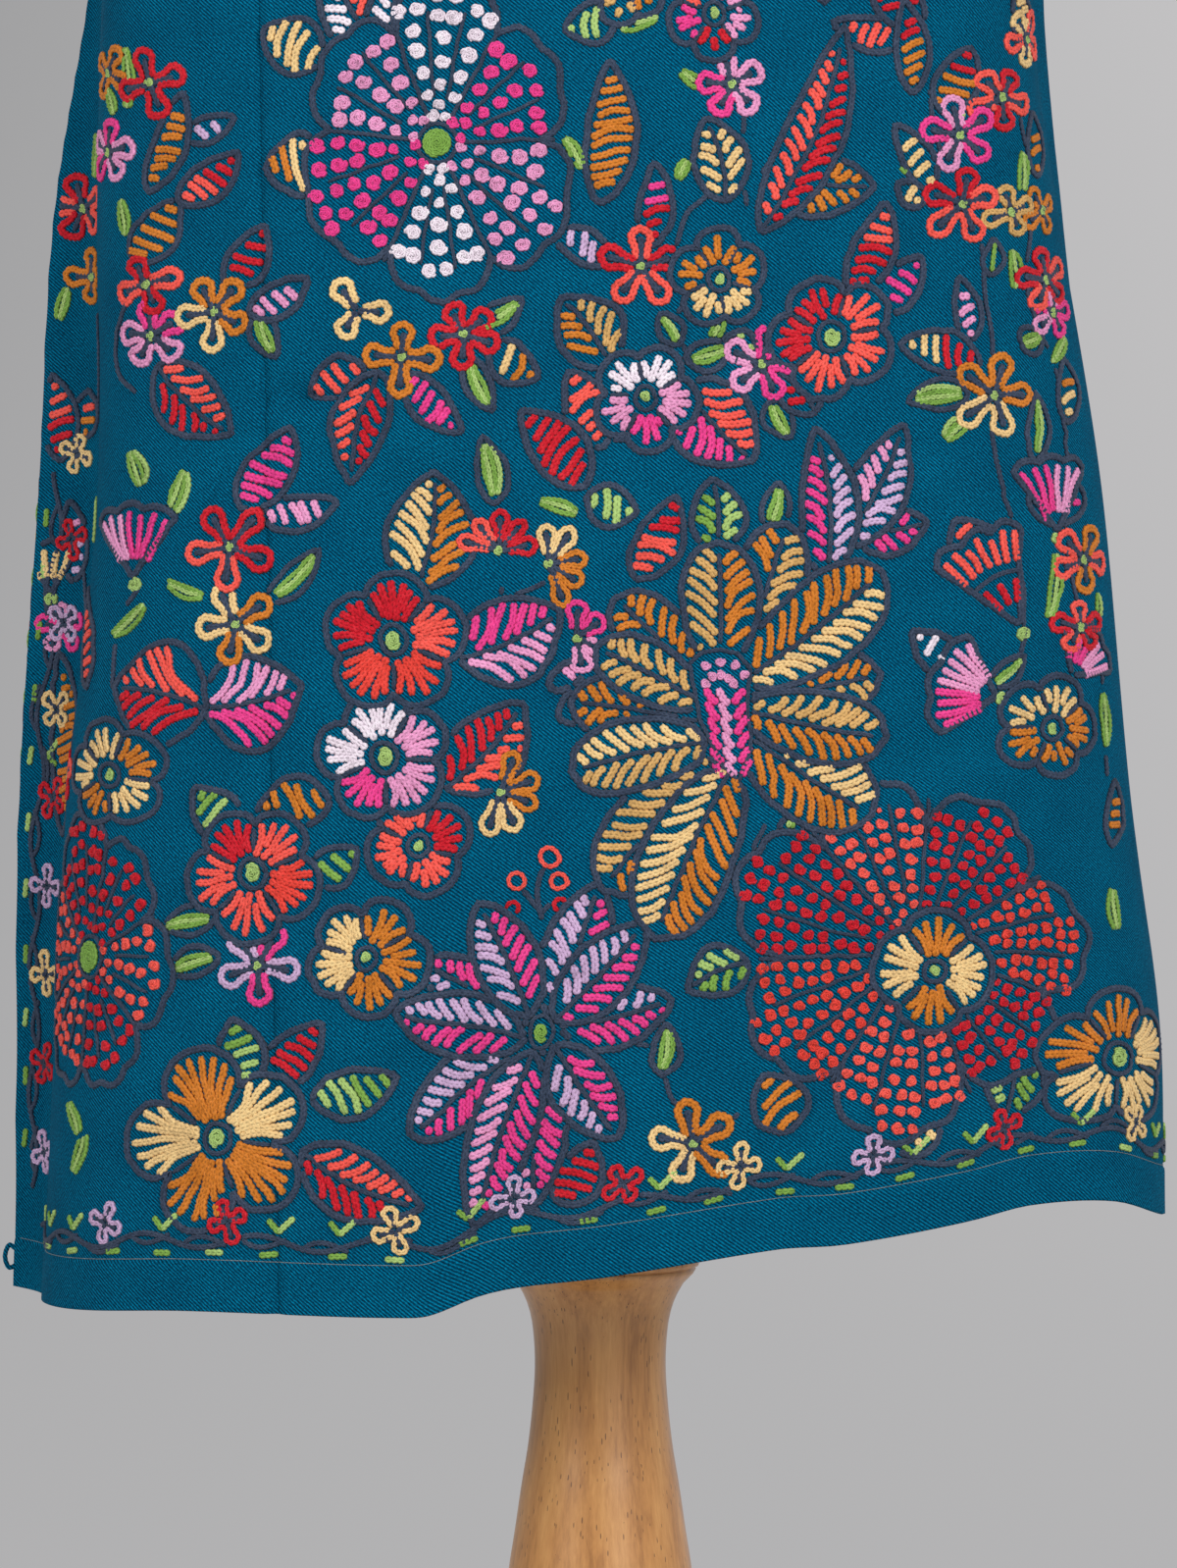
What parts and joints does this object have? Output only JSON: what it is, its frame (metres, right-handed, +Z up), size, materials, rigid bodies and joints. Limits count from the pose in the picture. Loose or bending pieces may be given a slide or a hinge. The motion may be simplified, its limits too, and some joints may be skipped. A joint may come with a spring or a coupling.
{
  "type": "pheran on a dress form",
  "caption": "Loose embroidered wool pheran with side slits and short wide sleeves, on a limbless dress form with a turned wooden stand.",
  "frame": {"origin": "centre of the base's underside, on the axis of the turned column", "axes": "+Z up along the column, -Y towards the front of the garment, +X towards the garment's left sleeve as seen in the picture on the right"},
  "size_m": [0.9646, 0.38, 1.62],
  "materials": {
    "wool_cloth": "matt wool twill, teal",
    "embroidery_yarn": "crewel yarn in slate, reds, pinks, ochres, cream and green, slight sheen",
    "form_cover": "plain woven cotton cover, natural",
    "steel_post": "brushed",
    "turned_wood": "light brown hardwood, satin varnish"
  },
  "bodies": {
    "root": {"front_side_panel": "wool_cloth", "front_panel": "wool_cloth", "back_panel": "wool_cloth", "sleeve_left": "wool_cloth", "sleeve_right": "wool_cloth", "slit_loop": "wool_cloth", "form_torso": "form_cover", "form_post": "steel_post", "stand_column": "turned_wood", "stand_base": "turned_wood"}
  },
  "joints": []
}
